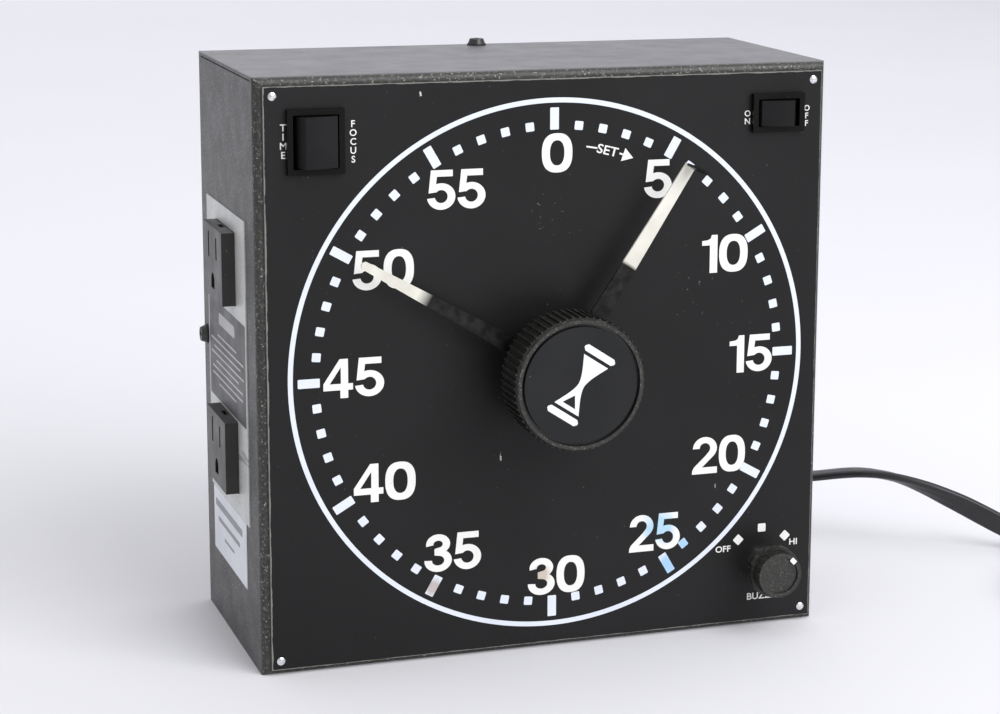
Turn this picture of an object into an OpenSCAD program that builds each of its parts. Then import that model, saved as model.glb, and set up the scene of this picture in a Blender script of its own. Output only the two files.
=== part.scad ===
// Sixty-minute interval timer with switched outlets, a setting knob and two hands on a square steel case.
// Origin: centre of the base. X to the right, Y to the rear, Z up. The dial faces -Y.

/* [Case] */
// Width of the case
case_w = 203; // [180:1:250]
// Height of the case
case_h = 203; // [180:1:250]
// Depth of the folded case, without the dial panel
case_d = 89; // [80:1:120]
// Thickness of the case's sheet steel
sheet = 1.2; // [0.8:0.1:2]
// Outside radius of the case's front folds
fold_r = 2.4; // [1.5:0.1:4]
// Length of the rear cover's flange inside the case
cover_flange = 12; // [8:1:20]
// Thickness of the dial panel
panel_t = 1.0; // [0.8:0.1:2]
// Width of the bare rim left of the dial panel
rim_left = 3.1; // [2:0.1:5]
// Width of the bare rim on the panel's other three sides
rim_other = 2.0; // [1.2:0.1:4]

/* [Dial and hands] */
// Outside diameter of the setting knob over its ribs
knob_d = 46; // [38:0.5:60]
// Length of the setting knob
knob_len = 16.5; // [12:0.5:24]
// Number of ribs round the setting knob
knob_ribs = 60; // [40:1:72]
// Gap between the dial panel and the back of the setting knob
knob_gap = 13; // [12:0.5:20]
// Length of the second hand from its axis to its tip
second_hand_len = 83; // [60:0.5:95]
// Length of the minute hand from its axis to its tip
minute_hand_len = 80; // [60:0.5:95]
// Seconds that the second hand shows
seconds_shown = 5.53; // [0:0.01:60]
// Whole minutes that the minute hand has passed
minutes_shown = 50; // [0:1:59]
// Length of the finger tab bent forward at the second hand's tip
tab_len = 15; // [6:0.5:18]

/* [Movement] */
// Module of the gears that the motor drives
gear_module = 0.7; // [0.5:0.05:0.8]
// Radius of the second arbor at the knob
arbor_r = 2.5; // [2.5:0.1:3.5]
// Radial gap of a shaft that turns in a hole
running_gap = 0.05; // [0.02:0.01:0.1]
// Diameter of the synchronous motor
motor_d = 50; // [40:1:58]
// Length of the synchronous motor
motor_len = 24; // [16:1:40]

/* [Switches and buzzer] */
// Width of both rocker bezels
bezel_w = 19.2; // [18.6:0.1:26]
// Height of the time and focus bezel
time_bezel_h = 21.6; // [18:0.1:28]
// Height of the power bezel
power_bezel_h = 13.4; // [12.8:0.1:20]
// How far the bezels stand out of the panel
bezel_proud = 2.2; // [1:0.1:4]
// Tilt of a rocker to each side
rocker_tilt = 12; // [6:0.5:14]
// Diameter of the buzzer knob's flange
buzzer_knob_d = 18.6; // [15:0.1:22]
// Length of the buzzer knob's shaft in front of the panel
buzzer_shaft_len = 16; // [15.5:0.5:20]

/* [Outlets] */
// Depth of an outlet's face block along the case's side
outlet_w = 31; // [28:0.5:36]
// Height of an outlet's face block
outlet_h = 25.2; // [24:0.2:32]
// How far an outlet stands out of the case
outlet_proud = 5; // [3:0.2:8]
// Height of the upper outlet's centre
upper_outlet_z = 134.5; // [120:0.5:150]
// Height of the lower outlet's centre
lower_outlet_z = 68.5; // [40:0.5:90]
// Distance from the case's front to an outlet's front edge
outlet_front = 31; // [26:0.5:45]

/* [Cord] */
// Width of the flat power cord
cord_w = 8.4; // [7:0.1:9]
// Diameter of the cord's plain tube
cord_tube_d = 7; // [5:0.1:8]
// Length of the tapered strain relief
relief_len = 22; // [20:1:60]

/* [Hidden] */

$fn = 64;
fit = 0.2;                                   // clearance round a fixed piece in its cut-out
case_front = -case_d / 2;
case_rear = case_d / 2;
panel_front = case_front - panel_t;
inside_front = case_front + sheet;
side_x = case_w / 2;
wall_x = side_x - sheet;

panel_x0 = -side_x + rim_left;
panel_x1 = side_x - rim_other;
panel_z0 = rim_other;
panel_z1 = case_h - rim_left;
dial_x = (panel_x0 + panel_x1) / 2 + 0.7;
dial_z = (panel_z0 + panel_z1) / 2 - 0.25;
pin_inset = 3.1;
pin_r = 0.9;
pin_head_r = 1.4;

time_x = panel_x0 + 17.1;
time_z = panel_z1 - 18.2;
power_x = panel_x1 - 16.7;
power_z = panel_z1 - 14;
buzzer_x = panel_x1 - 18.9;
buzzer_z = panel_z0 + 21.4;

screw_r = 2;
screw_head_r = 3.2;
screw_head_h = 1.8;
washer_r = 3.5;
washer_t = 0.6;
screw_y = case_rear - 4.5;
side_screw_z = case_h / 2;

// Stack of the movement, from the case front to the rear
plate_t = 1.6;
post_len = 4.8;
front_plate_y = inside_front + post_len;
cam_y = front_plate_y + plate_t + 0.8;
cam_t = 2;
cam_r = 12;
cam_lobe = 2;                                // how far the cam's lobe stands out of its rim
minute_wheel_y = cam_y + cam_t + 4.2;
wheel_t = 1.6;
idler_pinion_y = minute_wheel_y - 0.8;
idler_wheel_y = minute_wheel_y + wheel_t + 2.2;
second_pinion_y = idler_wheel_y - 0.8;
second_wheel_y = idler_wheel_y + wheel_t + 2.4;
back_plate_y = second_wheel_y + wheel_t + 2;
pivot_r = 1.5;
tube_r = arbor_r + 1.5;
bush_r = tube_r + 2;
plate_w = 64;
plate_h = 112;
pillar_x = plate_w / 2 - 5;
pillar_z = plate_h / 2 - 5;
pillar_r = 3;

pinion_teeth = 8;
idler_teeth = 64;
minute_teeth = 60;
drive_teeth = 60;
motor_teeth = 12;
centre_distance = gear_module * (pinion_teeth + idler_teeth) / 2;
minute_module = 2 * centre_distance / (pinion_teeth + minute_teeth);

hand_t = 0.8;
second_hand_y = panel_front - 10.5;
minute_hand_y = panel_front - 6.5;
knob_back = panel_front - knob_gap;
knob_front = knob_back - knob_len;
knob_r = knob_d / 2;
second_angle = -6 * seconds_shown;
minute_angle = -6 * (minutes_shown + seconds_shown / 60);

rocker_half = 7;
rocker_top = 6.6;
rocker_shoulder = 2.6;                       // height at which a rocker's sides start to slope in
rocker_bulge = 0.5;
opening_w = 15.4;
pivot_depth = 2;                             // rocker pivot behind the panel's front
trunnion_r = 1.2;
housing_depth = 20;
housing_side = 1.1;
bezel_lip = 1.9;                             // bezel round the rocker's opening, above and below
rocker_play = 0.4;

label_t = 0.4;
label_front = 15.3;
label_rear = 78.5;
label_z0 = 48;
label_z1 = 153.5;
sticker_t = 0.2;
sticker_front = 21.6;
sticker_rear = 77;
sticker_z0 = 24.2;
sticker_z1 = 47.6;
outlet_y = case_front + outlet_front + outlet_w / 2;
outlet_body_w = outlet_w - 4;
outlet_body_h = outlet_h - 3;
outlet_body_depth = 18;
slot_gap = 12.7;
slot_w = 1.8;
neutral_slot_h = 9;
hot_slot_h = 7.6;
slot_z = 5.6;
ground_z = -6.3;
ground_r = 2.7;
face_skin = 2.5;

relief_x = 22;
relief_z = 26;
relief_r0 = 7.5;
relief_r1 = 5;
cord_r = cord_tube_d / 2;
coil_x = 237;
coil_y = -69;
coil_inner = 38;
coil_outer = 56.5;
plug_w = 26;
plug_h = 24;
plug_len = 34;
plug_x = coil_x + 44;
plug_y = coil_y - 7;
plug_z = cord_w + plug_h / 2 + 0.1;

// Centre line of the cord from the relief to the coil, and from the coil's inner side over it to the plug
cord_route = [[22, case_rear + relief_len, 26], [22.4, 71.6, 26], [24, 77.6, 26], [29, 87.8, 25.6],
    [37, 95.6, 25.2], [47, 100.7, 24.8], [58, 102.5, 24.4], [69, 100.7, 24], [79, 95.8, 23.6],
    [92, 87.2, 23.4], [106, 78, 23.2], [120, 68.6, 23.2], [134, 59.2, 23.4], [144, 52.4, 24.5],
    [155, 45, 26.8], [162, 40.4, 27.6], [169, 36, 27.2], [176, 31.4, 25.6], [183, 27, 23.1],
    [189, 23.3, 20.4], [196, 19.2, 17], [203, 15, 13.2], [210, 10.5, 9.4], [217, 6, 6.4], [224, 1.6, 4.9],
    [232, -3, 4.2], [242, -9, 4.2], [253, -15, 4.2], [264, -21.6, 4.2]];
tail_route = [[198, -59, 8.4], [203, -46, 10.4], [212, -35, 11.6], [224, -27, 12], [237, -24, 12],
    [250, -25.5, 12], [262, -30.5, 13], [271, -38, 15], [277, -46, 18], [280, -51, 20],
    [plug_x, plug_y + plug_len / 2 + 4, plug_z]];

// Helpers
module rod_y(r, y0, y1) {
    translate([0, y0, 0]) rotate([-90, 0, 0]) cylinder(r = r, h = y1 - y0);
}
module plate_y(y0, y1) {
    translate([0, y1, 0]) rotate([90, 0, 0]) linear_extrude(y1 - y0) children();
}
module rod_x(r, x0, x1) {
    translate([x0, 0, 0]) rotate([0, 90, 0]) cylinder(r = r, h = x1 - x0);
}
module block(x0, x1, y0, y1, z0, z1) {
    translate([x0, y0, z0]) cube([x1 - x0, y1 - y0, z1 - z0]);
}
module at_dial() {
    translate([dial_x, 0, dial_z]) children();
}
module at_idler() {
    translate([dial_x, 0, dial_z + centre_distance]) children();
}
module at_motor() {
    translate([dial_x, 0, dial_z - centre_distance]) children();
}
module at_corners(dx, dz) {
    for (sx = [-1, 1], sz = [-1, 1]) translate([sx * dx, 0, sz * dz]) children();
}
// A sheet edge profile whose two front corners are rounded, front towards -Y of the profile
module front_rounded(width, depth, r) {
    difference() {
        translate([0, -depth / 2]) square([width, depth]);
        for (s = [0, 1]) translate([s * width, -depth / 2]) mirror([s, 0])
            difference() {
                square([r, r]);
                translate([r, r]) circle(r = r);
            }
    }
}
// Gear outline with a tooth centred on the +X axis of the profile
function tooth_points(count, root, tip, wide, narrow) = [for (i = [0:count - 1], s = [0:3])
    let (half = (s == 0 || s == 3) ? wide : narrow, side = s < 2 ? -1 : 1,
        a = 360 / count * (i + side * half), r = (s == 0 || s == 3) ? root : tip)
    [r * cos(a), r * sin(a)]];
module gear_profile(count, mod, phase, add = 0.8, ded = 1.05, wide = 0.3, narrow = 0.1) {
    root = mod * (count / 2 - ded);
    rotate(phase) polygon(tooth_points(count, root, mod * (count / 2 + add), wide, narrow));
}
// Sweep of a round tube along a route: rings stay upright and turn with the route
function unit(v) = v / norm(v);
function heading(p, i) = unit(p[min(i + 1, len(p) - 1)] - p[max(i - 1, 0)]);
function ring_points(p, i, r, sides) = let (t = heading(p, i), s = unit(cross(t, [0, 0, 1])), u = cross(s, t))
    [for (k = [0:sides - 1]) p[i] + r * (cos(360 * k / sides) * s + sin(360 * k / sides) * u)];
module swept_tube(p, r, sides = 8) {
    n = len(p);
    points = [for (i = [0:n - 1]) each ring_points(p, i, r, sides)];
    walls = [for (i = [0:n - 2], k = [0:sides - 1]) let (a = i * sides + k, b = i * sides + (k + 1) % sides)
        [a, a + sides, b + sides, b]];
    first = [for (k = [0:sides - 1]) k];
    last = [for (k = [sides - 1:-1:0]) (n - 1) * sides + k];
    polyhedron(points, concat(walls, [first, last]), convexity = 8);
}

// Case and cover
module case_skin(inset, front, rear) {
    r = max(fold_r - inset, 0.6);
    intersection() {
        translate([-side_x + inset, 0, inset]) linear_extrude(case_h - 2 * inset)
            translate([0, (front + rear) / 2]) front_rounded(2 * (side_x - inset), rear - front, r);
        translate([-side_x + inset, 0, 0]) rotate([90, 0, 90]) linear_extrude(2 * (side_x - inset))
            translate([0, case_h - inset]) rotate(-90)
                translate([0, (front + rear) / 2]) front_rounded(case_h - 2 * inset, rear - front, r);
    }
}
module switch_cutout(bezel_h, gap) {
    plate_y(panel_front - 1, inside_front + 1)
        square([opening_w + 2 * housing_side + 2 * gap, bezel_h - 1.6 + 2 * gap], center = true);
}
module front_holes() {
    at_dial() rod_y(bush_r + fit, panel_front - 1, inside_front + 1);
    translate([time_x, 0, time_z]) switch_cutout(time_bezel_h, fit);
    translate([power_x, 0, power_z]) switch_cutout(power_bezel_h, fit);
    translate([buzzer_x, 0, buzzer_z]) rod_y(3.5 + fit, panel_front - 1, inside_front + 1);
}
module at_pins() {
    for (x = [panel_x0 + pin_inset, panel_x1 - pin_inset], z = [panel_z0 + pin_inset, panel_z1 - pin_inset])
        translate([x, 0, z]) children();
}
// Places along the case's edge where the rear cover is screwed: top, left and right. Local +Z points outward.
module at_cover_screws() {
    translate([0, screw_y, case_h]) children();
    translate([-side_x, screw_y, side_screw_z]) rotate([0, -90, 0]) children();
    translate([side_x, screw_y, side_screw_z]) rotate([0, 90, 0]) children();
}
module side_seam(side) {
    seam_drop = sheet + 0.3;
    translate([side * side_x, 0, case_h - seam_drop]) {
        cube([1, case_d - 8, 0.5], center = true);
        translate([0, case_d / 2 - 4.3, -1]) cube([1, 0.6, 2.5], center = true);
    }
}
module case() {
    color([0.36, 0.36, 0.35]) difference() {
        case_skin(0, case_front, case_rear);
        case_skin(sheet, inside_front, case_rear + 10);
        front_holes();
        at_pins() rod_y(pin_r, case_front - 1, inside_front + 1);
        at_cover_screws() translate([0, 0, -sheet - 1]) cylinder(r = screw_r + fit, h = sheet + 2);
        for (z = [upper_outlet_z, lower_outlet_z]) translate([0, outlet_y, z])
            block(-side_x - 1, -wall_x + 1, -outlet_body_w / 2 - fit, outlet_body_w / 2 + fit,
                -outlet_body_h / 2 - fit, outlet_body_h / 2 + fit);
        side_seam(-1);
        side_seam(1);
    }
}
module keyhole() {
    rod_y(4.5, case_rear - sheet - 1, case_rear + 1);
    block(-2.2, 2.2, case_rear - sheet - 1, case_rear + 1, 0, 11);
    translate([0, 0, 11]) rod_y(2.2, case_rear - sheet - 1, case_rear + 1);
}
keyhole_dx = 60;
keyhole_z = case_h - 45;
module rear_cover() {
    x1 = wall_x - fit;
    z0 = sheet + fit;
    z1 = case_h - sheet - fit;
    y0 = case_rear - cover_flange;
    color([0.34, 0.34, 0.33]) difference() {
        block(-x1, x1, y0, case_rear, z0, z1);
        block(-x1 + sheet, x1 - sheet, y0 - 1, case_rear - sheet, z0 + sheet, z1 - sheet);
        at_cover_screws() translate([0, 0, -8]) cylinder(r = screw_r, h = 9);
        for (s = [-1, 1]) translate([s * keyhole_dx, 0, keyhole_z]) keyhole();
        translate([relief_x, 0, relief_z]) rod_y(6.2, case_rear - sheet - 1, case_rear + 1);
    }
}
module rear_cover_screws() {
    color([0.12, 0.12, 0.12]) at_cover_screws() {
        translate([0, 0, -6]) cylinder(r = screw_r, h = 6 + washer_t);
        difference() {
            translate([0, 0, washer_t])
                cylinder(r1 = screw_head_r, r2 = screw_head_r - 0.7, h = screw_head_h);
            translate([0, 0, washer_t + screw_head_h]) {
                cube([0.8, 4, 1.8], center = true);
                cube([4, 0.8, 1.8], center = true);
            }
        }
    }
}
module screw_washers() {
    color([0.2, 0.2, 0.2]) at_cover_screws() difference() {
        cylinder(r = washer_r, h = washer_t);
        translate([0, 0, -1]) cylinder(r = screw_r + 0.1, h = washer_t + 2);
    }
}
module dial_panel() {
    color([0.09, 0.09, 0.1]) difference() {
        block(panel_x0, panel_x1, panel_front, case_front, panel_z0, panel_z1);
        front_holes();
        at_pins() rod_y(pin_r, panel_front - 1, case_front + 1);
    }
}
module panel_pins() {
    color([0.85, 0.86, 0.88]) at_pins() {
        rod_y(pin_r, panel_front, inside_front + 1);
        intersection() {
            rod_y(pin_head_r, panel_front - 0.6, panel_front);
            translate([0, panel_front + 1.6, 0]) sphere(r = 2.2);
        }
    }
}

// Side label, sticker and outlets
module outlet_label() {
    color([0.78, 0.79, 0.78]) difference() {
        block(-side_x - label_t, -side_x, case_front + label_front, case_front + label_rear,
            label_z0, label_z1);
        for (z = [upper_outlet_z, lower_outlet_z]) translate([0, outlet_y, z])
            block(-side_x - 1, -side_x + 1, -outlet_w / 2 - fit, outlet_w / 2 + fit,
                -outlet_h / 2 - fit, outlet_h / 2 + fit);
    }
}
module lower_sticker() {
    color([0.93, 0.93, 0.95])
        block(-side_x - sticker_t, -side_x, case_front + sticker_front, case_front + sticker_rear,
            sticker_z0, min(sticker_z1, label_z0 - 0.2));
}
// The three ways into an outlet, widened by grow, as solids along X. The tall neutral slot is at the rear.
module outlet_ways(x0, x1, grow) {
    for (s = [-1, 1]) {
        h = (s > 0 ? neutral_slot_h : hot_slot_h) / 2 + grow;
        block(x0, x1, s * slot_gap / 2 - slot_w / 2 - grow, s * slot_gap / 2 + slot_w / 2 + grow,
            slot_z - h, slot_z + h);
    }
    translate([0, 0, ground_z]) {
        rod_x(ground_r + grow, x0, x1);
        block(x0, x1, -ground_r - grow, ground_r + grow, -ground_r - grow, 0);
    }
}
module outlet() {
    face_x = -side_x - outlet_proud;
    inner_x = -side_x + outlet_body_depth;
    color([0.3, 0.3, 0.31]) translate([0, outlet_y, 0]) difference() {
        union() {
            block(face_x, -side_x, -outlet_w / 2, outlet_w / 2, -outlet_h / 2, outlet_h / 2);
            block(-side_x, inner_x, -outlet_body_w / 2, outlet_body_w / 2,
                -outlet_body_h / 2, outlet_body_h / 2);
        }
        outlet_ways(face_x - 1, inner_x - 2, 0);
        outlet_ways(face_x + face_skin, inner_x - 2, 0.9);
        block(-side_x - 2.6, -side_x - 1, -3, 3, outlet_h / 2 - 2, outlet_h / 2 + 1);
    }
}
module upper_outlet() { translate([0, 0, upper_outlet_z]) outlet(); }
module lower_outlet() { translate([0, 0, lower_outlet_z]) outlet(); }
module outlet_contacts() {
    face_x = -side_x - outlet_proud;
    inner_x = -side_x + outlet_body_depth;
    color([0.8, 0.62, 0.28]) for (z = [upper_outlet_z, lower_outlet_z]) translate([0, outlet_y, z]) {
        difference() {
            outlet_ways(face_x + face_skin + 1.5, inner_x - 2, 0.8);
            outlet_ways(face_x, inner_x - 4, -0.25);
        }
    }
}

// Rocker switches. Each rocker turns about an upright pin; its profile is drawn with +Y towards the rear.
function rocker_crown(half, top, bulge) = let (r = (half * half + bulge * bulge) / (2 * bulge))
    [for (k = [-8:8]) let (x = half * k / 8) [x, -top - bulge + r - sqrt(r * r - x * x)]];
rocker_taper = 1.3;
module rocker_profile() {
    polygon(concat(rocker_crown(rocker_half - rocker_taper, rocker_top, rocker_bulge),
        [[rocker_half, -rocker_shoulder], [rocker_half, 1], [5, 4], [-5, 4],
        [-rocker_half, 1], [-rocker_half, -rocker_shoulder]]));
}
module rocker(bezel_h, tilt) {
    h = bezel_h - 2 * bezel_lip - 2 * rocker_play;
    rotate([0, 0, tilt]) {
        translate([0, 0, -h / 2]) linear_extrude(h) rocker_profile();
        translate([0, 0, -h / 2 - rocker_play - 0.8]) cylinder(r = trunnion_r, h = h + 2 * rocker_play + 1.6);
    }
}
module switch_housing(bezel_h) {
    body_h = bezel_h - 1.6;
    cavity_h = bezel_h - 2 * bezel_lip;
    difference() {
        union() {
            block(-bezel_w / 2, bezel_w / 2, -bezel_proud, 0, -bezel_h / 2, bezel_h / 2);
            block(-opening_w / 2 - housing_side, opening_w / 2 + housing_side, 0, housing_depth,
                -body_h / 2, body_h / 2);
        }
        block(-opening_w / 2, opening_w / 2, -bezel_proud - 1, housing_depth - 6,
            -cavity_h / 2, cavity_h / 2);
        translate([0, pivot_depth, -cavity_h / 2 - 0.9])
            cylinder(r = trunnion_r + running_gap, h = cavity_h + 1.8);
    }
}
module time_switch_housing() {
    color([0.07, 0.07, 0.06]) translate([time_x, panel_front, time_z]) switch_housing(time_bezel_h);
}
module power_switch_housing() {
    color([0.07, 0.07, 0.06]) translate([power_x, panel_front, power_z]) switch_housing(power_bezel_h);
}
module time_rocker() {
    color([0.13, 0.13, 0.14]) translate([time_x, panel_front + pivot_depth, time_z])
        rocker(time_bezel_h, rocker_tilt);
}
module power_rocker() {
    color([0.11, 0.11, 0.11]) translate([power_x, panel_front + pivot_depth, power_z])
        rocker(power_bezel_h, -rocker_tilt);
}
module switch_terminals() {
    color([0.8, 0.7, 0.4]) for (p = [[time_x, time_z], [power_x, power_z]], s = [-1, 0, 1])
        translate([p[0] + 5 * s, panel_front, p[1]])
            block(-0.4, 0.4, housing_depth, housing_depth + 8, -2.4, 2.4);
}

// Setting knob and hands, all on the dial's axis
module knob_rib_profile() {
    circle(r = knob_r - 0.6);
    for (k = [0:knob_ribs - 1])
        rotate(360 * k / knob_ribs) translate([knob_r - 1.2, -0.35]) square([1.2, 0.7]);
}
knob_rim = 1.8;
disc_r = knob_r - 3.2;
recess_depth = 2;
module setting_knob() {
    color([0.1, 0.1, 0.09]) at_dial() difference() {
        union() {
            plate_y(knob_front + 1.6, knob_back) knob_rib_profile();
            translate([0, knob_front, 0]) rotate([-90, 0, 0])
                cylinder(r1 = knob_r - 0.9, r2 = knob_r - 0.3, h = 1.6);
        }
        rod_y(knob_r - knob_rim - 0.3, knob_front - 1, knob_front + recess_depth);
        difference() {
            rod_y(knob_r - 3.6, knob_front + 5, knob_back + 1);
            rod_y(arbor_r + 4.5, knob_front + 4, knob_back + 2);
        }
        rod_y(arbor_r, knob_front + 4, knob_back + 1);
        translate([0, (knob_front + 5 + knob_back) / 2, 0]) rotate([0, 90, 0]) cylinder(r = 1.5, h = knob_d);
    }
}
module knob_disc() {
    color([0.12, 0.13, 0.14]) at_dial() rod_y(disc_r, knob_front + 0.3, knob_front + recess_depth);
}
module hand_profile(len, root, tip, hub, end_r) {
    difference() {
        union() {
            circle(r = hub);
            polygon([[-root / 2, 0], [root / 2, 0], [tip / 2, len - end_r], [tip / 2 - end_r, len],
                [-tip / 2 + end_r, len], [-tip / 2, len - end_r]]);
        }
        children();
    }
}
module second_hand() {
    color([0.9, 0.89, 0.84]) at_dial() rotate([0, -second_angle, 0]) {
        plate_y(second_hand_y - hand_t / 2, second_hand_y + hand_t / 2)
            hand_profile(second_hand_len, 7.2, 3.8, arbor_r + 4, 0.2) circle(r = arbor_r);
        translate([0, 0, second_hand_len])
            block(-1.9, 1.9, second_hand_y - tab_len, second_hand_y + hand_t / 2, -hand_t, 0);
        difference() {
            rod_y(arbor_r + 2.5, second_hand_y + hand_t / 2, second_hand_y + hand_t / 2 + 1.8);
            rod_y(arbor_r, second_hand_y, second_hand_y + 4);
        }
    }
}
module minute_hand() {
    color([0.88, 0.87, 0.83]) at_dial() rotate([0, -minute_angle, 0])
        plate_y(minute_hand_y - hand_t / 2, minute_hand_y + hand_t / 2)
            hand_profile(minute_hand_len, 7, 2.8, tube_r + 3.5, 0.9) circle(r = tube_r);
}
module second_arbor() {
    step_y = minute_wheel_y + wheel_t + 0.6;
    color([0.72, 0.72, 0.7]) at_dial() {
        rod_y(arbor_r, knob_front + 4.5, step_y);
        rod_y(pivot_r, step_y, back_plate_y + plate_t);
        plate_y(second_pinion_y, second_pinion_y + 3.2) gear_profile(pinion_teeth, gear_module, 90);
    }
}
module wheel(count, mod, phase, y, bore) {
    root = mod * (count / 2 - 1.05);
    plate_y(y, y + wheel_t) difference() {
        gear_profile(count, mod, phase);
        circle(r = bore);
        for (k = [0:4]) rotate(72 * k + 18) translate([root * 0.58, 0]) circle(r = root * 0.24);
    }
}
brass = [0.79, 0.64, 0.33];
module second_wheel() {
    color(brass) at_dial() wheel(drive_teeth, gear_module, -90, second_wheel_y, pivot_r);
}
module idler_wheel() {
    color(brass) at_idler() wheel(idler_teeth, gear_module, -90 + 180 / idler_teeth, idler_wheel_y, pivot_r);
}
module idler_arbor() {
    color([0.72, 0.72, 0.7]) at_idler() {
        rod_y(pivot_r, front_plate_y, back_plate_y + plate_t);
        plate_y(idler_pinion_y, idler_pinion_y + 3.2) gear_profile(pinion_teeth, minute_module, -90);
    }
}
module minute_tube() {
    color([0.75, 0.62, 0.35]) at_dial() difference() {
        rod_y(tube_r, minute_hand_y - hand_t / 2 - 0.6, minute_wheel_y + wheel_t + 0.3);
        rod_y(arbor_r + running_gap, minute_hand_y - 5, minute_wheel_y + 10);
    }
}
module minute_wheel() {
    phase = 90 + 180 / minute_teeth;
    color(brass) at_dial() wheel(minute_teeth, minute_module, phase, minute_wheel_y, tube_r);
}
module timing_cam() {
    color([0.86, 0.85, 0.8]) at_dial() plate_y(cam_y, cam_y + cam_t) difference() {
        union() {
            circle(r = cam_r);
            rotate(roller_angle + minute_angle) translate([cam_r + cam_lobe - 2.2, 0]) circle(r = 2.2);
        }
        circle(r = tube_r);
    }
}
module centre_bush() {
    color(brass) at_dial() difference() {
        union() {
            rod_y(bush_r, panel_front - 3.2, front_plate_y + plate_t);
            rod_y(bush_r + 2.5, inside_front, front_plate_y);
        }
        rod_y(tube_r + running_gap, panel_front - 5, front_plate_y + plate_t + 1);
    }
}
module centre_bush_nut() {
    color(brass) at_dial() plate_y(panel_front - 2.4, panel_front) difference() {
        circle(r = bush_r + 3.2, $fn = 6);
        circle(r = bush_r);
    }
}

// Movement frame, motor and cam switch
module plate_profile() {
    square([plate_w, plate_h], center = true);
}
module movement_front_plate() {
    color([0.7, 0.71, 0.72]) at_dial() plate_y(front_plate_y, front_plate_y + plate_t) difference() {
        plate_profile();
        circle(r = bush_r);
        translate([0, centre_distance]) circle(r = pivot_r + running_gap);
    }
}
module movement_back_plate() {
    color([0.7, 0.71, 0.72]) at_dial() plate_y(back_plate_y, back_plate_y + plate_t) difference() {
        plate_profile();
        circle(r = pivot_r + running_gap);
        translate([0, centre_distance]) circle(r = pivot_r + running_gap);
        translate([0, -centre_distance]) circle(r = 3.4);
        for (sx = [-1, 1], sz = [-1, 1]) translate([sx * pillar_x, sz * pillar_z]) circle(r = 1.6);
    }
}
module movement_pillars() {
    color([0.74, 0.74, 0.74]) at_dial() at_corners(pillar_x, pillar_z) difference() {
        rod_y(pillar_r, front_plate_y + plate_t, back_plate_y);
        rod_y(1.5, back_plate_y - 6, back_plate_y + 1);
    }
}
module mounting_posts() {
    color([0.6, 0.6, 0.6]) at_dial() at_corners(pillar_x, pillar_z) rod_y(4, inside_front, front_plate_y);
}
module movement_screws() {
    color([0.5, 0.5, 0.52]) at_dial() at_corners(pillar_x, pillar_z) {
        rod_y(1.5, back_plate_y - 5, back_plate_y + plate_t);
        rod_y(2.8, back_plate_y + plate_t, back_plate_y + plate_t + 1.8);
    }
}
motor_y = back_plate_y + plate_t;
module drive_motor() {
    color([0.66, 0.67, 0.68]) at_motor() difference() {
        union() {
            rod_y(6, motor_y, motor_y + 2);
            rod_y(motor_d / 2, motor_y + 2, motor_y + 2 + motor_len);
            for (s = [-1, 1]) translate([s * (motor_d / 2 + 2), 0, 0]) rod_y(3.4, motor_y, motor_y + 3.4);
        }
        rod_y(pivot_r + running_gap, motor_y - 1, motor_y + 10);
    }
}
module motor_pinion() {
    color([0.7, 0.7, 0.7]) at_motor() {
        rod_y(pivot_r, second_wheel_y - 0.6, motor_y + 8);
        plate_y(second_wheel_y - 0.6, second_wheel_y + 2.2)
            gear_profile(motor_teeth, gear_module, 90 + 180 / motor_teeth);
    }
}
switch_y = front_plate_y + plate_t;
roller_r = 2.4;
roller_angle = 166;
roller_gap = 0.3;
roller_place = (cam_r + roller_gap + roller_r) * [cos(roller_angle), sin(roller_angle)];
lever_pivot = roller_place + [-13, -14];
module cam_switch() {
    color([0.13, 0.13, 0.14]) at_dial() difference() {
        block(lever_pivot[0] - 4, lever_pivot[0] + 2, switch_y, switch_y + 4.2,
            lever_pivot[1] - 4, lever_pivot[1] + 18);
        translate([lever_pivot[0], 0, lever_pivot[1]]) rod_y(0.8, switch_y + 3, switch_y + 5);
    }
}
// Roller lever of the cam switch: its roller stands just clear of the cam's rim until the lobe comes round
module cam_switch_lever() {
    x0 = lever_pivot[0];
    z0 = lever_pivot[1];
    x1 = roller_place[0];
    z1 = roller_place[1];
    color([0.75, 0.75, 0.75]) at_dial() {
        translate([x1, 0, z1]) rod_y(roller_r, cam_y, cam_y + cam_t);
        translate([x1, 0, z1]) rod_y(1, cam_y + cam_t - 0.1, switch_y + 4.6);
        block(x1 - 1, x1 + 1, switch_y + 4.3, switch_y + 4.8, z0 - 1, z1 + 2);
        block(x0 - 1.2, x1 + 1, switch_y + 4.3, switch_y + 4.8, z0 - 1.4, z0 + 1.4);
        translate([x0, 0, z0]) rod_y(0.76, switch_y + 3.2, switch_y + 4.4);
    }
}

// Buzzer and its loudness control
buzzer_shaft_r = 3;
control_y = inside_front;
module at_buzzer() {
    translate([buzzer_x, 0, buzzer_z]) children();
}
module buzzer_knob() {
    knob_y = panel_front - buzzer_shaft_len - 1.5;
    color([0.1, 0.1, 0.1]) at_buzzer() difference() {
        union() {
            rod_y(5.2, knob_y + 6, panel_front - 4);
            rod_y(buzzer_knob_d / 2, knob_y + 4.6, knob_y + 6.4);
            plate_y(knob_y, knob_y + 4.7) {
                circle(r = buzzer_knob_d / 2 - 1.3);
                for (k = [0:47])
                    rotate(7.5 * k) translate([buzzer_knob_d / 2 - 1.4, 0]) circle(r = 0.35, $fn = 4);
            }
        }
        rod_y(buzzer_knob_d / 2 - 2.6, knob_y - 1, knob_y + 0.8);
        rod_y(buzzer_shaft_r, knob_y + 3.5, panel_front);
    }
}
module buzzer_shaft() {
    color([0.8, 0.8, 0.8]) at_buzzer()
        rod_y(buzzer_shaft_r, panel_front - buzzer_shaft_len + 2, control_y + 9);
}
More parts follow.
